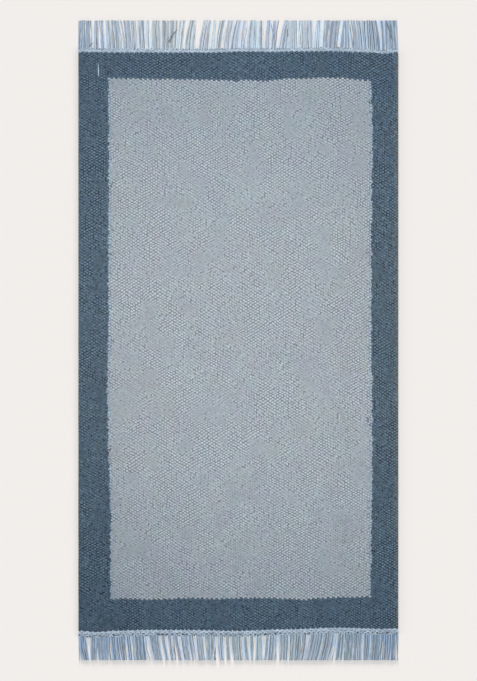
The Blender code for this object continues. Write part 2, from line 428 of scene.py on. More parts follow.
cloth = {
    "warps": 131,
    "picks": 400,
    "bottomBorderPicks": 23,
    "topBorderPicks": 19,
    "tipReach": 2 / 3,  # from a float's middle to its tips, in warps
    "lean": -0.34,  # how much higher its left tip lies, in picks
    "leanPatch": 0.8,
    "leanSize": 32 * mm,
    "leanMost": 0.7,
    "endLean": 0.3,  # how much of the lean is left where the field ends
    "unevenLean": 0.08,
    "leanPaintedLight": 0.4,  # painted light: how much a lean paints lighter the edges that it draws together, and the other two edges darker
    "selvedgeDraw": 0.09,  # how far the top of the selvedge is drawn in, in warps
    "crest": 5.4 * mm,
    "hollow": 3.2 * mm,
    "unevenHeight": 0.16 * mm,
    "unevenPlace": 0.3 * mm,
    "wander": (1.6 * mm, 2.0 * mm),
    "wanderSize": 40 * mm,
    "crowding": (0.8 * mm, 1.3 * mm),
    "crowdingSize": 13 * mm,
    "calmSide": 20 * mm,  # how near a side the cloth strays less, and how near an end
    "calmEnd": 40 * mm,
    "beatReach": (-566, 571),  # the field's two ends, in millimetres
    "fieldWarps": (12, 120),  # the warps between which the pale field lies
    "slipShare": 0.02,  # of the floats along the field's ends that go to the border
    "sideWobble": 1.2 * mm,
    "seamWarps": 1.2,  # how wide the seams at the field's sides are
    "seamTone": 0.05,
    "seamHue": 0.8,
    # Painted shade: the share of hollows painted as deep pits, and how much darker
    "shadedPitShare": 0.14,
    "shadedPitDepth": 1.5,
    # Painted light and shade of a float's crest, its tips, its shared edges and the middle level, with
    # their random spread
    "crestPaintedLight": 0.9,
    "tipPaintedLight": 0.44,
    "edgePaintedLight": 0.1,
    "middlePaintedLight": 0.45,
    "unevenCrestPaintedLight": 0.05,
    "unevenTipPaintedLight": 0.13,
    "shadeContrast": (1.0, 0.5),  # how much the contrast of painted light on crests and painted shade in hollows varies by patch
    "shadeContrastSize": (38 * mm, 15 * mm),
    "shadeContrastMost": (0.15, 1.9),
    "floatTone": (0.03, 0.08),  # in the field and in the border
    "patchTone": 0.015,
    "patchSize": 55 * mm,
    # Painted shade and painted light for the fall-off of the light over the rug: darker towards the ends,
    # the sides and one corner, lighter in the field's lower half
    "borderEndShade": 0.02,
    "lowerPaintedLight": 0.045,  # painted light: how much lighter the field is painted halfway down its lower half
    "fieldSideShade": 0.02,
    "cornerShade": 0.12,  # painted shade towards the left corner of the bottom end
    "selvedgeTone": 0.2,
    "selvedgeHue": 0.9,
    "floatHue": 0.08,
    "patchHue": 0.15,
    "hueSize": 30 * mm,
    "hueFade": 0.5,
    "patchTint": 0.35,
    "tintSize": 22 * mm,
    "undersideColumns": 34,
    "undersideRelief": 0.35 * mm,
    "seed": 11,
}
# The picks between which the pale field lies
fieldPicks = (cloth["bottomBorderPicks"], cloth["picks"] - cloth["topBorderPicks"])
# How closely the field is beaten, in picks per 100 mm, at places along the rug in millimetres
beatRow = namedtuple("beatRow", "y picks")
beatRows = [beatRow(*row) for row in (
    (-540, 31.7),
    (-500, 32.2),
    (-415, 33.0),
    (-262, 30.7),
    (-87, 31.5),
    (88, 30.2),
    (274, 30.8),
    (464, 32.4),
)]
wallRow = namedtuple("wallRow", "height out")
wallRows = [wallRow(2.7, 0.5), wallRow(1.1, 0.45), wallRow(0.15, -0.5)]


def beatShare(share):
    # How far along the field a pick lies, both as shares of the whole
    y = np.linspace(*cloth["beatReach"], 60)
    density = np.interp(y, [row.y for row in beatRows], [row.picks for row in beatRows])
    picks = np.concatenate([[0], np.cumsum((density[1:] + density[:-1]) / 2)])
    return np.interp(share, picks / picks[-1], np.linspace(0, 1, len(y)))


def pickPlace(x, pick):
    # Where a pick lies along the rug: evenly in each border, and as it was beaten in the field
    lines = [readLine(endRows, line, x) for line in ("bottomEnd", "fieldBottom", "fieldTop", "topEnd")]
    marks = [0, *fieldPicks, cloth["picks"]]
    y = lines[0]
    for number in range(3):
        share = np.clip((pick - marks[number]) / (marks[number + 1] - marks[number]), 0, 1)
        if number == 1:
            share = beatShare(share)
        y = y + share * (lines[number + 1] - lines[number])
    return y


def makeWander(draw):
    # How far the beaten picks and warps stray from an even grid
    broad = [makeLumps(draw, cloth["wanderSize"]) for _ in range(2)]
    close = [makeLumps(draw, cloth["crowdingSize"]) for _ in range(2)]

    def shift(x, y, axis):
        far = cloth["wander"][axis] * broad[axis](x, y)
        return far + cloth["crowding"][axis] * close[axis](x, y)

    return shift


def clothPoint(column, pick, height, wander):
    warps = cloth["warps"]
    column = np.clip(column, cloth["selvedgeDraw"], warps - cloth["selvedgeDraw"])
    x = (column / warps - 0.5) * rugWidth
    y = pickPlace(x, np.clip(pick, 0, cloth["picks"]))
    calmSides = np.minimum(1.0, (rugWidth / 2 - np.abs(x)) / cloth["calmSide"])
    calmEnds = np.clip((clothHigh.y - 8 * mm - np.abs(y)) / cloth["calmEnd"], 0.2, 1)
    shifted = x + wander(x, y, 0) * calmSides
    for side, warp in zip(("fieldLeft", "fieldRight"), cloth["fieldWarps"]):
        rest = (warp / warps - 0.5) * rugWidth
        outer = math.copysign(rugWidth / 2, rest)
        pull = np.clip(np.minimum((x - outer) / (rest - outer), x / rest), 0, 1)
        shifted = shifted + pull * (readLine(sideRows, side, y) - rest)
    return np.stack([shifted, y + wander(x, y, 1) * calmEnds, height], -1)


def fieldFloats(draw, column, pick):
    # Which floats are the pale field's, and which of those lie along its sides.
    # Along its ends a float slips now and then.
    left, right = np.array(cloth["fieldWarps"]) - 0.5
    firstPick, lastPick = fieldPicks
    slip = draw.random(len(pick)) < cloth["slipShare"]
    inRows = (pick >= firstPick + slip) & (pick < lastPick - slip)
    inField = inRows & (column > left) & (column < right)
    atSide = inField & ((column < left + cloth["seamWarps"]) | (column > right - cloth["seamWarps"]))
    return inField, atSide


def inFan(middle, rim):
    # The middle and two neighbouring corners, for each of the six triangles of every float
    return np.stack([np.stack([middle, rim[n], rim[(n + 1) % 6]], -1) for n in range(6)], 1)


def colourFloats(draw, column, pick, x, y, paintedLight):
    # Tone, hue, painted light and tint of all the floats' corners, and which floats are the field's
    inField, atSide = fieldFloats(draw, column, pick)
    across = 2 * x / rugWidth
    along = 2 * y / rugLength
    # Floats with more or less painted shade are still as light as each other on the whole
    level = 0.18 + 0.82 * paintedLight.mean((1, 2))
    tone = level.mean() / level - 0.5
    tone += draw.normal(0, 1, len(x)) * np.where(inField, *cloth["floatTone"])
    tone += cloth["patchTone"] * makeLumps(draw, cloth["patchSize"])(x, y)
    # Besides the darker seams: painted shade and painted light for the fall-off of the light
    tone -= cloth["seamTone"] * atSide + cloth["borderEndShade"] * ~inField * along ** 2
    tone += cloth["lowerPaintedLight"] * inField * np.sin(math.pi * np.clip(-2.5 * y / rugLength, 0, 1))
    tone -= cloth["fieldSideShade"] * inField * across ** 2
    tone -= cloth["cornerShade"] * np.maximum(0, -across) * np.maximum(0, -along)
    selvedge = np.clip((column - cloth["warps"] + 3) / 2, 0, 1)
    tone += cloth["selvedgeTone"] * selvedge
    hue = 0.5 + draw.normal(0, cloth["floatHue"], len(x))
    hue += cloth["patchHue"] * makeLumps(draw, cloth["hueSize"])(x, y)
    hue += cloth["selvedgeHue"] * selvedge
    hue -= cloth["seamHue"] * atSide + cloth["hueFade"] * along ** 2
    tint = 0.5 + cloth["patchTint"] * makeLumps(draw, cloth["tintSize"])(x, y)
    tone, hue, tint = [np.repeat(part, 18) for part in (tone, hue, tint)]  # six triangles each
    return asRows(tone, hue, paintedLight.ravel(), tint), inField


def colourBelow(draw, corners):
    # The same for the triangles of the sides and of the underside
    x, y = corners.mean(1)[:, :2].T
    inField = (x > readLine(sideRows, "fieldLeft", y)) & (x < readLine(sideRows, "fieldRight", y))
    inField &= (y > readLine(endRows, "fieldBottom", x)) & (y < readLine(endRows, "fieldTop", x))
    tone = np.repeat(0.5 + draw.normal(0, 0.1, len(corners)), 3)
    # Painted shade: the lower a corner of the sides or underside lies, the darker it is painted
    paintedLight = np.clip(corners[:, :, 2].ravel() / cloth["crest"], 0.35, 1)
    even = np.full(len(tone), 0.5)
    return asRows(tone, even, paintedLight, even), inField


def outlineLoop(triangles, first):
    # The free edges of the top face, in order, anticlockwise
    span = triangles.max() + 1
    starts = triangles.ravel()
    ends = np.roll(triangles, -1, axis=1).ravel()
    free = ~np.isin(starts * span + ends, ends * span + starts)
    following = dict(zip(starts[free].tolist(), ends[free].tolist()))
    loop = [first]
    while following[loop[-1]] != first:
        loop.append(following[loop[-1]])
    return np.array(loop)


def zipChains(lower, upper, x):
    # Triangles between two chains of points that run side by side from left to right, facing down
    faces = []
    low = 0
    high = 0
    while low < len(lower) - 1 or high < len(upper) - 1:
        stepLow = high == len(upper) - 1
        if low < len(lower) - 1 and not stepLow:
            stepLow = x[lower[low + 1]] <= x[upper[high + 1]]
        if stepLow:
            faces.append((lower[low], upper[high], lower[low + 1]))
            low += 1
        else:
            faces.append((lower[low], upper[high], upper[high + 1]))
            high += 1
    return [face for face in faces if len(set(face)) == 3]


def closeBelow(points, top, number, count):
    # Adds rounded sides round the top face, then the underside
    warps = cloth["warps"]
    picks = cloth["picks"]
    loop = outlineLoop(top, number[1, 1])
    outline = points[loop]
    run = np.roll(outline, -2, axis=0) - np.roll(outline, 2, axis=0)
    outward = unit(asRows(run[:, 1], -run[:, 0]))
    rings = [loop]
    parts = [points]
    start = len(points)
    for row in wallRows:
        ring = outline.copy()
        ring[:, :2] += outward * row.out * mm
        ring[:, 2] = row.height * mm
        parts.append(ring)
        rings.append(start + np.arange(len(loop)))
        start += len(loop)
    walls = []
    for upper, lower in zip(rings, rings[1:]):
        nextUpper = np.roll(upper, -1)
        nextLower = np.roll(lower, -1)
        walls.append(asRows(upper, lower, nextLower))
        walls.append(asRows(upper, nextLower, nextUpper))

    # The lowest ring's points at the two sides carry the underside's rows, one for each pick
    ringOf = dict(zip(loop.tolist(), rings[-1].tolist()))
    order = {point: place for place, point in enumerate(loop.tolist())}
    leftEdge = []
    rightEdge = []
    for pick in range(picks):
        odd = pick % 2
        leftEdge.append(number[0, pick + 1] + count if odd else number[1, pick + 1])
        rightEdge.append(number[warps + 1, pick + 1] if odd else number[warps, pick + 1] + count)
    leftLow = np.array([ringOf[point] for point in leftEdge])
    rightLow = np.array([ringOf[point] for point in rightEdge])
    known = np.concatenate(parts)
    inner = cloth["undersideColumns"]
    share = np.arange(1, inner + 1) / (inner + 1)
    left, right = known[leftLow][:, None], known[rightLow][:, None]
    below = left + share[:, None] * (right - left)
    stagger = (np.arange(picks)[:, None] + np.arange(inner)) % 2
    below[:, :, 2] = wallRows[-1].height * mm + cloth["undersideRelief"] * stagger
    grid = start + np.arange(picks * inner).reshape(picks, inner)
    grid = np.concatenate([leftLow[:, None], grid, rightLow[:, None]], 1)
    a, b, c, d = grid[:-1, :-1], grid[1:, :-1], grid[1:, 1:], grid[:-1, 1:]
    points = np.concatenate([known, below.reshape(-1, 3)])
    low = rings[-1]
    bottomChain = low[: order[rightEdge[0]] + 1]
    topChain = low[order[rightEdge[-1]]: order[leftEdge[-1]] + 1][::-1]
    zipped = zipChains(bottomChain.tolist(), grid[0].tolist(), points[:, 0])
    zipped += zipChains(grid[-1].tolist(), topChain.tolist(), points[:, 0])
    return points, np.concatenate(walls + [asRows(a, b, c), asRows(a, c, d), np.array(zipped)])


def weaveCloth():
    draw = np.random.default_rng(cloth["seed"])
    warps = cloth["warps"]
    picks = cloth["picks"]
    reach = cloth["tipReach"]

    # Every second crossing carries a float. One row of crossings past each edge lends its tips.
    column, pick = np.meshgrid(np.arange(-1, warps + 1), np.arange(-1, picks + 1), indexing="ij")
    number = np.full(column.shape, -1)
    used = (column + pick) % 2 == 0
    number[used] = np.arange(used.sum())
    tipColumn = column[used] + 0.5
    tipPick = pick[used] + 0.5
    count = len(tipColumn)

    wander = makeWander(draw)

    def uneven(size):
        return draw.normal(0, size, count)

    def place(columns, picks, height):
        return clothPoint(columns, picks, height + uneven(cloth["unevenHeight"]), wander)

    crests = place(tipColumn, tipPick, cloth["crest"])
    leanLumps = makeLumps(draw, cloth["leanSize"])(crests[:, 0], crests[:, 1])
    lean = cloth["lean"] + cloth["leanPatch"] * leanLumps + uneven(cloth["unevenLean"])
    lean = np.clip(lean, -cloth["leanMost"], cloth["leanMost"])
    atEnd = np.abs(tipPick[:, None] - fieldPicks).min(1) < 2
    lean = np.where(atEnd, cloth["endLean"] * lean, lean)
    leftTips = place(tipColumn - reach, tipPick + lean, cloth["hollow"])
    rightTips = place(tipColumn + reach, tipPick - lean, cloth["hollow"])
    atSeam = np.abs(tipColumn[:, None] - cloth["fieldWarps"]).min(1) < 2
    leftTips[:, 0] += atSeam * uneven(cloth["sideWobble"])
    rightTips[:, 0] += atSeam * uneven(cloth["sideWobble"])
    crests[:, 0] += uneven(cloth["unevenPlace"])
    crests[:, 1] += uneven(cloth["unevenPlace"])
    points = np.concatenate([leftTips, rightTips, crests])

    # A float's face is six triangles round its crest: its own two tips and four of its neighbours'
    real = used & (column >= 0) & (column < warps) & (pick >= 0) & (pick < picks)
    across, along = np.argwhere(real).T
    crest = number[across, along] + 2 * count
    corners = [
        number[across, along],
        number[across - 1, along - 1] + count,
        number[across + 1, along - 1],
        number[across, along] + count,
        number[across + 1, along + 1],
        number[across - 1, along + 1] + count,
    ]
    top = inFan(crest, corners).reshape(-1, 3)
    x, y = points[crest, 0], points[crest, 1]

    # Painted light and shade: a float is painted lit along its length, its own tips lighter than the
    # edges it shares
    crestPaintedLight = draw.normal(cloth["crestPaintedLight"], cloth["unevenCrestPaintedLight"], len(crest))
    drawn = cloth["leanPaintedLight"] * lean[crest - 2 * count]
    cornerPaintedLight = []
    for kind, sign in 2 * [("tipPaintedLight", 0), ("edgePaintedLight", 1), ("edgePaintedLight", -1)]:
        cornerPaintedLight.append(draw.normal(cloth[kind], cloth["unevenTipPaintedLight"], len(crest)) + sign * drawn)
    # Painted shade: here and there the hollow between floats is painted much darker, so that it looks
    # open and deep
    shadedPits = cloth["shadedPitDepth"] * np.clip(1 - draw.random(2 * count) / cloth["shadedPitShare"], 0, 1)
    paintedLight = inFan(crestPaintedLight, [corner - shadedPits[point] for corner, point in zip(cornerPaintedLight, corners)])
    # Painted shade: how strongly the floats are painted lit and shaded changes from patch to patch
    shadeContrastShare = 1
    for size, change in zip(cloth["shadeContrastSize"], cloth["shadeContrast"]):
        shadeContrastShare = shadeContrastShare + change * makeLumps(draw, size)(x, y)
    shadeContrastShare = np.clip(shadeContrastShare, *cloth["shadeContrastMost"])
    paintedLight = cloth["middlePaintedLight"] + (paintedLight - cloth["middlePaintedLight"]) * shadeContrastShare[:, None, None]
    paintedLight = np.clip(paintedLight, 0, 1)

    topYarn, inField = colourFloats(draw, across - 1, along - 1, x, y, paintedLight)
    points, rest = closeBelow(points, top, number, count)
    restYarn, restInField = colourBelow(draw, points[rest])
    kept, triangles = np.unique(np.concatenate([top, rest]), return_inverse=True)
    yarn = np.concatenate([topYarn, restYarn])
    pale = np.concatenate([np.repeat(inField, 6), restInField])
    wools = [borderWool, fieldWool]
    return makePiece("wovenCloth", points[kept], triangles.reshape(-1, 3), yarn, wools, pale)


wovenCloth = weaveCloth()
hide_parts("woven_cloth")
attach(wovenCloth, "root")


# Yarns: closed tubes along rows of centre points

def yarnCorners(triangles, *parts):
    # Tone, hue, painted light and tint of the points, for each corner of each triangle
    return asRows(*[part[triangles] for part in parts])


def sweepYarns(shape, x, y, z, thickness, turn, tone, hue, tint):
    # Places are yarns by rings. Each ring is an oval that turns along the yarn, as twisted plies do.
    centres = np.stack([x, y, z], -1)
    yarns, rings = centres.shape[:2]
    sides = shape["sides"]
    along = unit(np.gradient(centres, axis=1))
    side = unit(np.cross(np.array([0.0, 0.0, 1.0]), along))
    up = np.cross(along, side)
    angle = np.arange(sides) * 2 * math.pi / sides
    swell = 1 + shape["oval"] * np.cos(2 * (angle - turn[:, :, None]))
    radius = thickness[:, :, None] / 2 * swell
    spokes = np.cos(angle)[:, None] * side[:, :, None, :] + np.sin(angle)[:, None] * up[:, :, None, :]
    ring = centres[:, :, None, :] + radius[..., None] * spokes
    endReach = thickness[:, [0, -1], None] * 0.25 * along[:, [0, -1], :]
    startPoint = centres[:, :1, :] - endReach[:, :1, :]
    endPoint = centres[:, -1:, :] + endReach[:, 1:, :]
    points = np.concatenate([ring.reshape(yarns, rings * sides, 3), startPoint, endPoint], 1)
    here = np.arange(rings - 1)[:, None] * sides + np.arange(sides)
    after = np.arange(rings - 1)[:, None] * sides + (np.arange(sides) + 1) % sides
    first = asRows(here, after, after + sides)
    second = asRows(here, after + sides, here + sides)
    capStart = asRows(after[0], here[0], np.full(sides, rings * sides))
    lastRing = (rings - 1) * sides
    capEnd = asRows(here[0] + lastRing, after[0] + lastRing, np.full(sides, rings * sides + 1))
    one = np.concatenate([first, second, capStart, capEnd])
    perYarn = rings * sides + 2
    triangles = (one[None] + np.arange(yarns)[:, None, None] * perYarn).reshape(-1, 3)
    # Painted shade: each ring is painted lit on top and dark on its sides and underside, the caps halfway
    paintedLight = np.concatenate([np.tile(np.maximum(0, np.sin(angle)), rings), [0.5, 0.5]])
    tone, hue, tint = [np.repeat(part, perYarn) for part in (tone, hue, tint)]
    yarn = yarnCorners(triangles, tone, hue, np.tile(paintedLight, yarns), tint)
    return points.reshape(-1, 3), triangles, yarn


fringe = {
    "yarnsPerWarp": 3,
    "rings": 36,
    "sides": 6,
    "thickness": 2.1 * mm,
    "unevenThickness": (0.9, 1.08),
    "taper": 0.06,
    "oval": 0.15,
    "twistLength": 9 * mm,
    "rootHeight": 2.3 * mm,
    "rootIn": 1.5 * mm,  # how far the roots lie under the heading
    "lowest": 0.03 * mm,
    "trim": 1.3 * mm,
    "lean": 1.39,  # how late along its length a yarn leans aside
    "rootJitter": 0.2 * mm,
    "tipJitter": 0.5 * mm,
    "bow": 0.5 * mm,
    "strayShare": 0.05,
    "strayLift": 2.0 * mm,
    "strayReach": 5.0 * mm,
    "tone": 0.05,
    "turnTone": 0.22,  # how much yarns differ from the ones beside them
    "gapHighlight": 0.75,  # painted highlight: how much lighter a yarn beside a parting is painted, for the light that shows through the gap
    "slitShare": 0.2,
    "slitWidth": (0.4, 1.8),  # in yarns
    "slitHighlight": 0.4,  # painted highlight: how much of the painted light beside a parting a slit of one yarn gives
    "patchTone": 0.06,
    "middleX": -40 * mm,
    "hue": 0.1,
    "tint": 0.15,
    "patchHue": 0.3,
    "patchSize": 70 * mm,
    "hueFade": 0.8,  # how much bluer the yarns get towards the sides
    "patchTint": 0.35,
    "tintSize": 20 * mm,
    "holeReach": 1.5 * mm,
    "waver": 3 * mm,  # how far the strands' painted light and painted shade stray from even steps
    "waverSize": 30 * mm,
}


def spreadYarns(draw, partings):
    # Root and tip of each yarn across the width, between the partings, with a slit here and there, and
    # the painted highlight of the yarns beside a parting or a slit
    spacing = rugWidth / cloth["warps"] / fringe["yarnsPerWarp"]
    roots = []
    tips = []
    paintedGapLight = []
    for left, right in zip(partings, partings[1:]):
        rootLeft = (left.rootX + left.rootGap / 2) * mm
        rootRight = (right.rootX - right.rootGap / 2) * mm
        tipLeft = (left.tipX + left.tipGap / 2) * mm
        tipRight = (right.tipX - right.tipGap / 2) * mm
        count = max(1, round((rootRight - rootLeft) / spacing))
        share = (np.arange(count) + 0.5) / count
        slits = (draw.random(count) < fringe["slitShare"]) * draw.uniform(*fringe["slitWidth"], count)
        slits[0] = 0
        roots.append(rootLeft + share * (rootRight - rootLeft))
        tips.append(tipLeft + (np.cumsum(1 + slits) - 0.5) / (count + slits.sum()) * (tipRight - tipLeft))
        # Painted highlight for the yarns beside a slit or a parting
        gapLight = fringe["slitHighlight"] * slits
        gapLight[[0, -1]] = left.rootGap > 0, right.rootGap > 0
        paintedGapLight.append(gapLight)
    return np.concatenate(roots), np.concatenate(tips), np.concatenate(paintedGapLight)


def fromHole(x, shape):
    # How far each place lies from the nearest of the small holes between the strands' roots
    draw = np.random.default_rng(shape["seed"] + 1)
    holes = np.cumsum(draw.uniform(*shape["holeSteps"], 100)) * mm - rugWidth / 2
    away = x[:, None] - holes[holes < rugWidth / 2 - 5 * mm]
    return away[np.arange(len(x)), np.abs(away).argmin(1)]


def makeFringe(name, direction, shape, partings, seed):
    draw = np.random.default_rng(seed)
    roots, tips, paintedGapLight = spreadYarns(draw, partings)
    count = len(roots)
    along = np.linspace(0, 1, fringe["rings"])[None, :]
    rootX = roots + draw.normal(0, fringe["rootJitter"], count)
    tipX = tips + draw.normal(0, fringe["tipJitter"], count)
    stray = draw.random(count) < fringe["strayShare"]
    tipX += stray * draw.normal(0, fringe["strayReach"], count)
    tipX = np.clip(tipX, -rugWidth / 2 + mm, rugWidth / 2 - mm)
    rootY = direction * readLine(endRows, shape["line"], rootX) + shape["depth"] - fringe["rootIn"]
    tipY = rugLength / 2 - np.maximum(0, draw.uniform(-0.6, 1, count)) * fringe["trim"]
    bow = draw.normal(0, fringe["bow"], count)[:, None]
    phase = draw.uniform(0, 2 * math.pi, count)[:, None]
    x = rootX[:, None] + (tipX - rootX)[:, None] * along ** fringe["lean"]
    x = x + bow * np.sin(math.pi * along) + 0.5 * bow * np.sin(3 * math.pi * along + phase)
    away = fromHole(rootX, shape)
    aside = np.sign(away) * np.maximum(0, fringe["holeReach"] - np.abs(away))
    x = x + aside[:, None] * (1 - along) ** 7
    y = direction * (rootY[:, None] + (tipY - rootY)[:, None] * along)
    uneven = draw.uniform(*fringe["unevenThickness"], count)[:, None]
    thickness = fringe["thickness"] * uneven * (1 - fringe["taper"] * along)
    lift = (stray * fringe["strayLift"] + np.abs(draw.normal(0, 0.25, count)) * mm)[:, None]
    z = thickness * 0.46 + (fringe["rootHeight"] - thickness / 2) * (1 - along) ** 4
    z = z + lift * np.sin(math.pi * np.clip(along * 1.15, 0, 1)) ** 2
    turn = phase + y / fringe["twistLength"] * 2 * math.pi

    middle = (2 * (roots - fringe["middleX"]) / rugWidth) ** 2
    # Painted shade: the yarns darker towards the sides, for the fall-off of the light
    tone = 0.5 + shape["fringeTone"] - shape["fringeSideShade"] * middle
    # 1.22 is the usual size of a yarn's difference from the two beside it
    thick = draw.normal(0, 1, count + 2)
    tone += fringe["turnTone"] * (thick[1:-1] - (thick[:-2] + thick[2:]) / 2) / 1.22

    def patches(size):
        return makeLumps(draw, size)(roots, np.zeros(count))

    # Painted shade between the strands: each strand lighter in its middle and darker where it meets the
    # next
    wavy = roots + fringe["waver"] * patches(fringe["waverSize"])
    tone += shape["strandShade"] * np.cos(2 * math.pi * wavy / shape["strandWidth"])
    # Random tone, and painted highlight on yarns beside partings and slits
    tone += draw.normal(0, fringe["tone"], count) + fringe["gapHighlight"] * paintedGapLight
    tone += fringe["patchTone"] * patches(fringe["patchSize"])
    tone = np.clip(tone, -0.1, 1)
    hue = 0.5 + shape["fringeHue"] + draw.normal(0, fringe["hue"], count)
    hue += fringe["patchHue"] * patches(fringe["patchSize"])
    hue -= fringe["hueFade"] * (middle - middle.mean())
    tint = 0.5 + draw.normal(0, fringe["tint"], count)
    tint += fringe["patchTint"] * patches(fringe["tintSize"])
    points, triangles, yarn = sweepYarns(fringe, x, y, z, thickness, turn, tone, hue, tint)
    points[:, 2] = np.maximum(points[:, 2], fringe["lowest"])
    return makePiece(name, points, triangles, yarn, [warpWool])


# Headings: rows of yarn loops, each spanning two warps, over a band whose outer rows are painted dark as
# painted shade in the holes between the loops

loopRow = namedtuple("loopRow", "crest foot width thickness height lift shift tone")
bandRow = namedtuple("bandRow", "reach height tone")
topHeadingShape = {
    "depth": 8.0 * mm,
    "line": "topEnd",
    "fringeTone": -0.07,
    "fringeSideShade": 0.2,
    "strandShade": 0.17,
    "strandWidth": 9.2 * mm,
    "holeSteps": (8, 22),
    "fringeHue": 0.0,
    "loops": [
        loopRow(0.4, 5.2, 9.4, 3.0, 2.6, 0.9, 0.0, 0.02),
        loopRow(3.4, 8.6, 8.8, 2.8, 2.4, 0.8, 0.5, 0.0),
    ],
    # The band's outer rows are painted dark: painted shade in the holes between the loops
    "band": [
        bandRow(-3.0, 2.0, -0.1), bandRow(1.0, 2.9, -0.06), bandRow(5.0, 2.6, -0.1),
        bandRow(6.6, 1.6, -0.6), bandRow(8.6, 0.8, -0.7),
    ],
    "skip": (0.0, 0.1),
    "evenShift": 0,
    "seed": 31,
}
bottomHeadingShape = {
    "depth": 13.0 * mm,
    "line": "bottomEnd",
    "fringeTone": -0.17,
    "fringeSideShade": 0.25,
    "strandShade": 0.22,
    "strandWidth": 6.1 * mm,
    "holeSteps": (12, 50),
    "fringeHue": -0.4,
    "loops": [
        loopRow(0.4, 6.0, 9.4, 3.1, 2.6, 0.9, 0.0, 0.02),
        loopRow(3.8, 10.0, 9.0, 2.9, 2.5, 0.8, 0.5, 0.0),
        loopRow(8.0, 13.8, 8.4, 2.7, 2.2, 0.6, 0.0, -0.02),
        loopRow(6.8, 11.4, 5.4, 2.5, 1.9, 0.4, 0.5, -0.1),
    ],
    # The band's outer rows are painted dark: painted shade in the holes between the loops
    "band": [
        bandRow(-3.0, 2.0, -0.1), bandRow(1.0, 2.9, -0.06), bandRow(5.6, 3.0, -0.08),
        bandRow(7.0, 2.0, -0.4), bandRow(10.0, 0.8, -0.7), bandRow(13.0, 0.6, -0.7),
    ],
    "skip": (0.0, 0.05, 0.1, 0.3),
    "evenShift": 1,
    "seed": 37,
}
loops = {
    "rings": 13,
    "sides": 7,
    "oval": 0.12,
    "tone": 0.1,
    "hue": 0.1,
    "tint": 0.2,
    "unevenPlace": (0.45 * mm, 0.8 * mm, 1.1 * mm, 0.8 * mm),
    "unevenWidth": (0.92, 1.08),
    "unevenThickness": (0.93, 1.07),
    "bandInset": 0.8 * mm,
    "bandLift": 0.1 * mm,
}


def loopYarns(draw, shape, direction, level):
    row = shape["loops"][level]
    uneven = loops["unevenPlace"][level]
    pair = 2 * rugWidth / cloth["warps"]
    first = (0.25 + 0.5 * ((shape["evenShift"] + round(2 * row.shift)) % 2)) * pair
    middles = np.arange(first, rugWidth, pair) - rugWidth / 2
    middles = middles[draw.random(len(middles)) >= shape["skip"][level]]
    if level > 0:
        middles = middles[np.abs(fromHole(middles, shape)) > fringe["holeReach"]]
    count = len(middles)
    middles = middles + draw.normal(0, uneven, count)
    turn = np.linspace(0, math.pi, loops["rings"])[None, :]
    width = row.width * mm * draw.uniform(*loops["unevenWidth"], count)[:, None]
    x = middles[:, None] - width / 2 * np.cos(turn)
    x = np.clip(x, -rugWidth / 2 + mm, rugWidth / 2 - mm)
    crest = row.crest * mm + row.thickness * mm / 2 + draw.normal(0, uneven, count)[:, None]
    reach = row.foot * mm - (row.foot * mm - crest) * np.sin(turn)
    y = readLine(endRows, shape["line"], x) + direction * reach
    z = row.height * mm + row.lift * mm * np.sin(turn) + draw.normal(0, 0.15, count)[:, None] * mm
    swell = 0.8 + 0.2 * np.sin(turn)
    thickness = row.thickness * mm * swell * draw.uniform(*loops["unevenThickness"], count)[:, None]
    ply = turn * 3 + draw.uniform(0, math.pi, count)[:, None]
    tone = 0.5 + row.tone + draw.normal(0, loops["tone"], count)
    hue = 0.5 + draw.normal(0, loops["hue"], count)
    tint = 0.5 + draw.normal(0, loops["tint"], count)
    return sweepYarns(loops, x, y, z, thickness, ply, tone, hue, tint)


def bandUnderLoops(draw, shape, direction):
    # A thin knotted band, closed, that shows between the loops, its outer rows painted dark as painted
    # shade
    columns = 2 * cloth["warps"] + 1
    rows = len(shape["band"])
    sideX = rugWidth / 2 - loops["bandInset"]
    gridX, gridReach = np.meshgrid(
        np.linspace(-sideX, sideX, columns), [row.reach * mm for row in shape["band"]]
    )
    y = readLine(endRows, shape["line"], gridX) + direction * gridReach
    bumps = (np.arange(rows)[:, None] + np.arange(columns)) % 2
    high = np.array([row.height * mm for row in shape["band"]])[:, None] * (0.8 + 0.3 * bumps)
    high = high + draw.normal(0, 0.08, gridX.shape) * mm
    upper = asRows(gridX, y, high)
    lower = asRows(gridX, y, np.full(gridX.shape, loops["bandLift"]))
    number = np.arange(rows * columns).reshape(rows, columns)
    quads = asRows(number[:-1, :-1], number[:-1, 1:], number[1:, 1:], number[1:, :-1])
    rim = np.concatenate([number[0, :-1], number[:-1, -1], number[-1, :0:-1], number[:0:-1, 0]])
    after = np.roll(rim, -1)
    sides = asRows(rim, rim + rows * columns, after + rows * columns, after)
    if direction < 0:
        quads = quads[:, ::-1]
        sides = sides[:, ::-1]
    quads = np.concatenate([quads, quads[:, ::-1] + rows * columns, sides])
    triangles = np.concatenate([quads[:, [0, 1, 2]], quads[:, [0, 2, 3]]])
    points = np.concatenate([upper, lower])
    # Painted shade: each band row's tone, darkest in the outer rows where the band shows in holes between
    # loops; its painted light is 0.8 all over
    tone = np.tile(np.repeat([0.5 + row.tone for row in shape["band"]], columns), 2)
    even = np.full(len(points), 0.5)
    return points, triangles, yarnCorners(triangles, tone, even, np.full(len(points), 0.8), even)


def makeHeading(name, direction, shape):
    draw = np.random.default_rng(shape["seed"])
    parts = [bandUnderLoops(draw, shape, direction)]
    for level in range(len(shape["loops"])):
        parts.append(loopYarns(draw, shape, direction, level))
    points, triangles, yarns = zip(*parts)
    starts = np.cumsum([0] + [len(part) for part in points[:-1]])
    triangles = [part + start for part, start in zip(triangles, starts)]
    return makePiece(name, *map(np.concatenate, (points, triangles, yarns)), [warpWool])


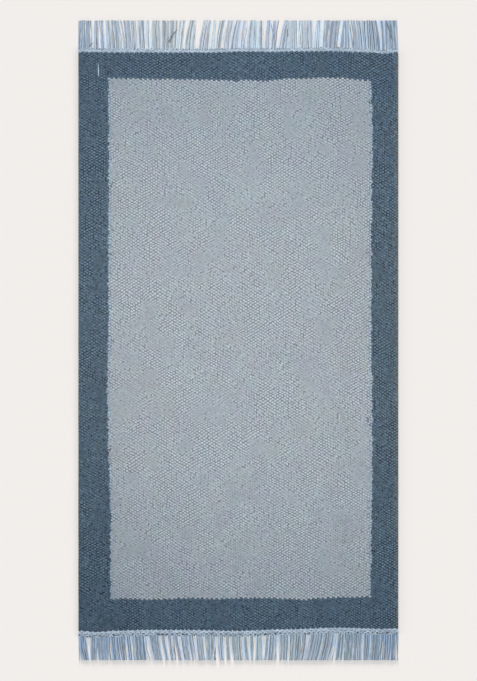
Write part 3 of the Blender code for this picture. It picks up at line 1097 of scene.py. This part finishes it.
topHeading = makeHeading("topHeading", 1, topHeadingShape)
bottomHeading = makeHeading("bottomHeading", -1, bottomHeadingShape)
topFringe = makeFringe("topFringe", 1, topHeadingShape, topPartings, 41)
bottomFringe = makeFringe("bottomFringe", -1, bottomHeadingShape, bottomPartings, 43)


# Loose strands that lie across the others, from one place to another, in millimetres from the middle

looseStrand = namedtuple("looseStrand", "startX startY endX endY thickness tone")
# Their dark tones are partly the yarns' own colour and partly painted shade, for the dark gaps between
# strands that they lie in
looseStrands = [looseStrand(*row) for row in (
    (-153.7, 652.4, -134.1, 678.6, 1.9, -0.6),
    (-150.0, 650.0, -146.0, 668.0, 1.5, -0.4),
    (336.0, 657.0, 325.0, 696.0, 1.8, -0.5),
    (107.6, 664.0, 107.8, 680.0, 1.7, -0.5),
    (-326.0, 643.0, -319.0, 650.0, 1.8, -0.6),
)]
strandShape = {
    "rings": 14,
    "sides": 6,
    "oval": 0.1,
    "bend": 0.8 * mm,
    "height": 3.7 * mm,
    "arch": 0.6 * mm,
    "twist": 12,  # in radians from end to end
}


def makeLooseStrands():
    along = np.linspace(0, 1, strandShape["rings"])[None, :]
    start = np.array([[strand.startX, strand.startY] for strand in looseStrands]) * mm
    end = np.array([[strand.endX, strand.endY] for strand in looseStrands]) * mm
    flat = start[:, None, :] + (end - start)[:, None, :] * along[..., None]
    x = flat[..., 0] + strandShape["bend"] * np.sin(2 * math.pi * along)
    z = strandShape["height"] + strandShape["arch"] * np.sin(math.pi * along) + 0 * x
    thickness = np.array([[strand.thickness * mm] for strand in looseStrands]) + 0 * x
    tone = np.array([0.5 + strand.tone for strand in looseStrands])
    even = np.full(len(looseStrands), 0.5)
    turn = along * strandShape["twist"]
    tube = sweepYarns(strandShape, x, flat[..., 1], z, thickness, turn, tone, even, even)
    return makePiece("looseStrands", *tube, [warpWool])


strandsAcross = makeLooseStrands()
for piece, node in (
    (strandsAcross, "fringe_top"),
    (topHeading, "fringe_top"),
    (topFringe, "fringe_top"),
    (bottomHeading, "fringe_bottom"),
    (bottomFringe, "fringe_bottom"),
):
    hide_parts(node)
    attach(piece, "root")


# One pale warp that shows through the border near the top left corner

paleWarp = {
    "x": -305.7 * mm,
    "bottomY": 577 * mm,
    "topY": 606 * mm,
    "lean": -1.2 * mm,
    "thickness": 2.4 * mm,
    "height": 4.7 * mm,
    "rings": 12,
    "sides": 8,
    "oval": 0.08,
    "sink": 1.2 * mm,  # how much lower its ends lie
    "twist": 9,  # in radians from end to end
}


def makePaleWarp():
    along = np.linspace(0, 1, paleWarp["rings"])[None, :]
    x = paleWarp["x"] + paleWarp["lean"] * along ** 3
    y = paleWarp["bottomY"] + (paleWarp["topY"] - paleWarp["bottomY"]) * along
    swell = np.sin(math.pi * (0.06 + 0.86 * along ** 0.7))
    z = paleWarp["height"] + (swell - 1) * paleWarp["sink"]
    thickness = paleWarp["thickness"] * (0.12 + 0.88 * swell)
    tube = sweepYarns(paleWarp, x, y, z, thickness, along * paleWarp["twist"], 0.6, 0.4, 0.5)
    return makePiece("paleWarpThread", *tube, [warpWool])


paleWarpThread = makePaleWarp()
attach(paleWarpThread, "root")


# Floor, light and camera

floorLook = {
    "size": 60.0,
    "seen": seen(242, 238, 235),
}
studio = {
    "ambient": 0.28,
    "backdrop": 0.87,
    "fillPlace": (0.0, 0.0, 1.8),
    "fillSize": 3.0,
    "fillPower": 6.6,
    "keyPlace": (-0.02, 0.16, 1.25),
    "keyAim": (0.0, 0.04, 0.0),
    "keySize": 0.9,
    "keyPower": 11.0,
    "floorFactor": 1.069,
    "sunTint": (1.18, 0.96, 0.86),
}
# turn: degrees from straight behind the rug's top end towards its left side.
# share: how much of a flat floor's light it gives
sunRow = namedtuple("sunRow", "name turn elevation spread share onFloor shadeless")
sunRows = [
    sunRow("reliefSun", 30, 30, 8, 0.12, False, []),
    sunRow("backSun", 3, 8, 9, 0.27, True, [topFringe]),
    sunRow("leftSun", 90, 13, 16, 0.06, True, [topFringe, bottomFringe, strandsAcross]),
    sunRow("rightSun", -90, 21, 20, 0.12, True, [topFringe, bottomFringe, strandsAcross]),
    sunRow("frontSun", 180, 13, 16, 0.06, True, [bottomFringe]),
]
lowShare = sum(row.share for row in sunRows if row.onFloor)

rugPieces = [
    wovenCloth, topHeading, bottomHeading, topFringe, bottomFringe, strandsAcross, paleWarpThread
]


def makeFloor():
    half = floorLook["size"] / 2
    mesh = bpy.data.meshes.new("floor")
    corners = [(-half, -half, 0), (half, -half, 0), (half, half, 0), (-half, half, 0)]
    mesh.from_pydata(corners, [], [(0, 1, 2, 3)])
    material = bpy.data.materials.new("paleFloor")
    material.use_nodes = True
    shader = material.node_tree.nodes["Principled BSDF"]
    light = [studio["floorFactor"] + lowShare * (tint - 1) for tint in studio["sunTint"]]
    tint = [channel / share for channel, share in zip(floorLook["seen"], light)]
    shader.inputs["Base Color"].default_value = (*tint, 1.0)
    shader.inputs["Roughness"].default_value = 1.0
    shader.inputs["Specular IOR Level"].default_value = 0.0
    mesh.materials.append(material)
    floor = addObject("floor", mesh)
    return floor


def gather(name, items):
    collection = bpy.data.collections.new(name)
    for item in items:
        collection.objects.link(item)
    return collection


def placeLight(name, light, place, aim, lit, blockers=None):
    # lit are the only things that this light falls on, blockers the only ones that shade it
    lamp = addObject(name, light)
    lamp.location = place
    lamp.rotation_euler = (Vector(aim) - Vector(place)).to_track_quat("-Z", "Y").to_euler()
    lamp.light_linking.receiver_collection = gather(name + "Receivers", lit)
    if blockers:
        lamp.light_linking.blocker_collection = gather(name + "Blockers", blockers)


def makeLights(floor):
    world = bpy.data.worlds.new("studio")
    world.use_nodes = True
    bpy.context.scene.world = world
    background = world.node_tree.nodes["Background"]
    background.inputs["Color"].default_value = (1.0, 1.0, 1.0, 1.0)
    rays = world.node_tree.nodes.new("ShaderNodeLightPath")
    level = world.node_tree.nodes.new("ShaderNodeMapRange")
    level.inputs["To Min"].default_value = studio["ambient"]
    level.inputs["To Max"].default_value = studio["backdrop"]
    world.node_tree.links.new(rays.outputs["Is Camera Ray"], level.inputs["Value"])
    world.node_tree.links.new(level.outputs["Result"], background.inputs["Strength"])
    for name, kind, aim in (("softbox", "key", studio["keyAim"]), ("fillPanel", "fill", (0, 0, 0))):
        panel = bpy.data.lights.new(name, "AREA")
        panel.shape = "SQUARE"
        panel.size = studio[kind + "Size"]
        panel.energy = studio[kind + "Power"]
        placeLight(name, panel, studio[kind + "Place"], aim, rugPieces)
    overhead = studio["floorFactor"] - studio["ambient"] - lowShare
    for row in sunRows + [sunRow("overheadSun", 0, 90, 8, overhead, True, [])]:
        sun = bpy.data.lights.new(row.name, "SUN")
        turn = math.radians(row.turn)
        rise = math.radians(row.elevation)
        sun.energy = row.share * math.pi / math.sin(rise)
        if row.onFloor and row.elevation < 90:
            sun.color = studio["sunTint"]
        sun.angle = math.radians(row.spread)
        place = (-math.sin(turn) * math.cos(rise), math.cos(turn) * math.cos(rise), math.sin(rise))
        blockers = [piece for piece in rugPieces if piece not in row.shadeless]
        placeLight(row.name, sun, place, (0, 0, 0), [floor] if row.onFloor else rugPieces, blockers)


view = {
    "imageHeight": 681,
    "metresPerPixel": 2.187 * mm,
    "lens": 100.0,
    "sensor": 36.0,
    "x": 0.44 * mm,
    "y": -0.44 * mm,
    "plane": 4.0 * mm,
}


def makeCamera():
    # Straight overhead, with the rug's long side up the picture
    camera = bpy.data.cameras.new("camera")
    camera.lens = view["lens"]
    camera.sensor_width = view["sensor"]
    camera.clip_end = 100.0
    span = view["imageHeight"] * view["metresPerPixel"]
    height = span * view["lens"] / view["sensor"]
    cameraObject = addObject("camera", camera)
    cameraObject.location = (view["x"], view["y"], height + view["plane"])
    bpy.context.scene.camera = cameraObject


makeLights(makeFloor())
makeCamera()
bpy.context.scene.view_settings.view_transform = "Standard"
print("floor, lights and camera")
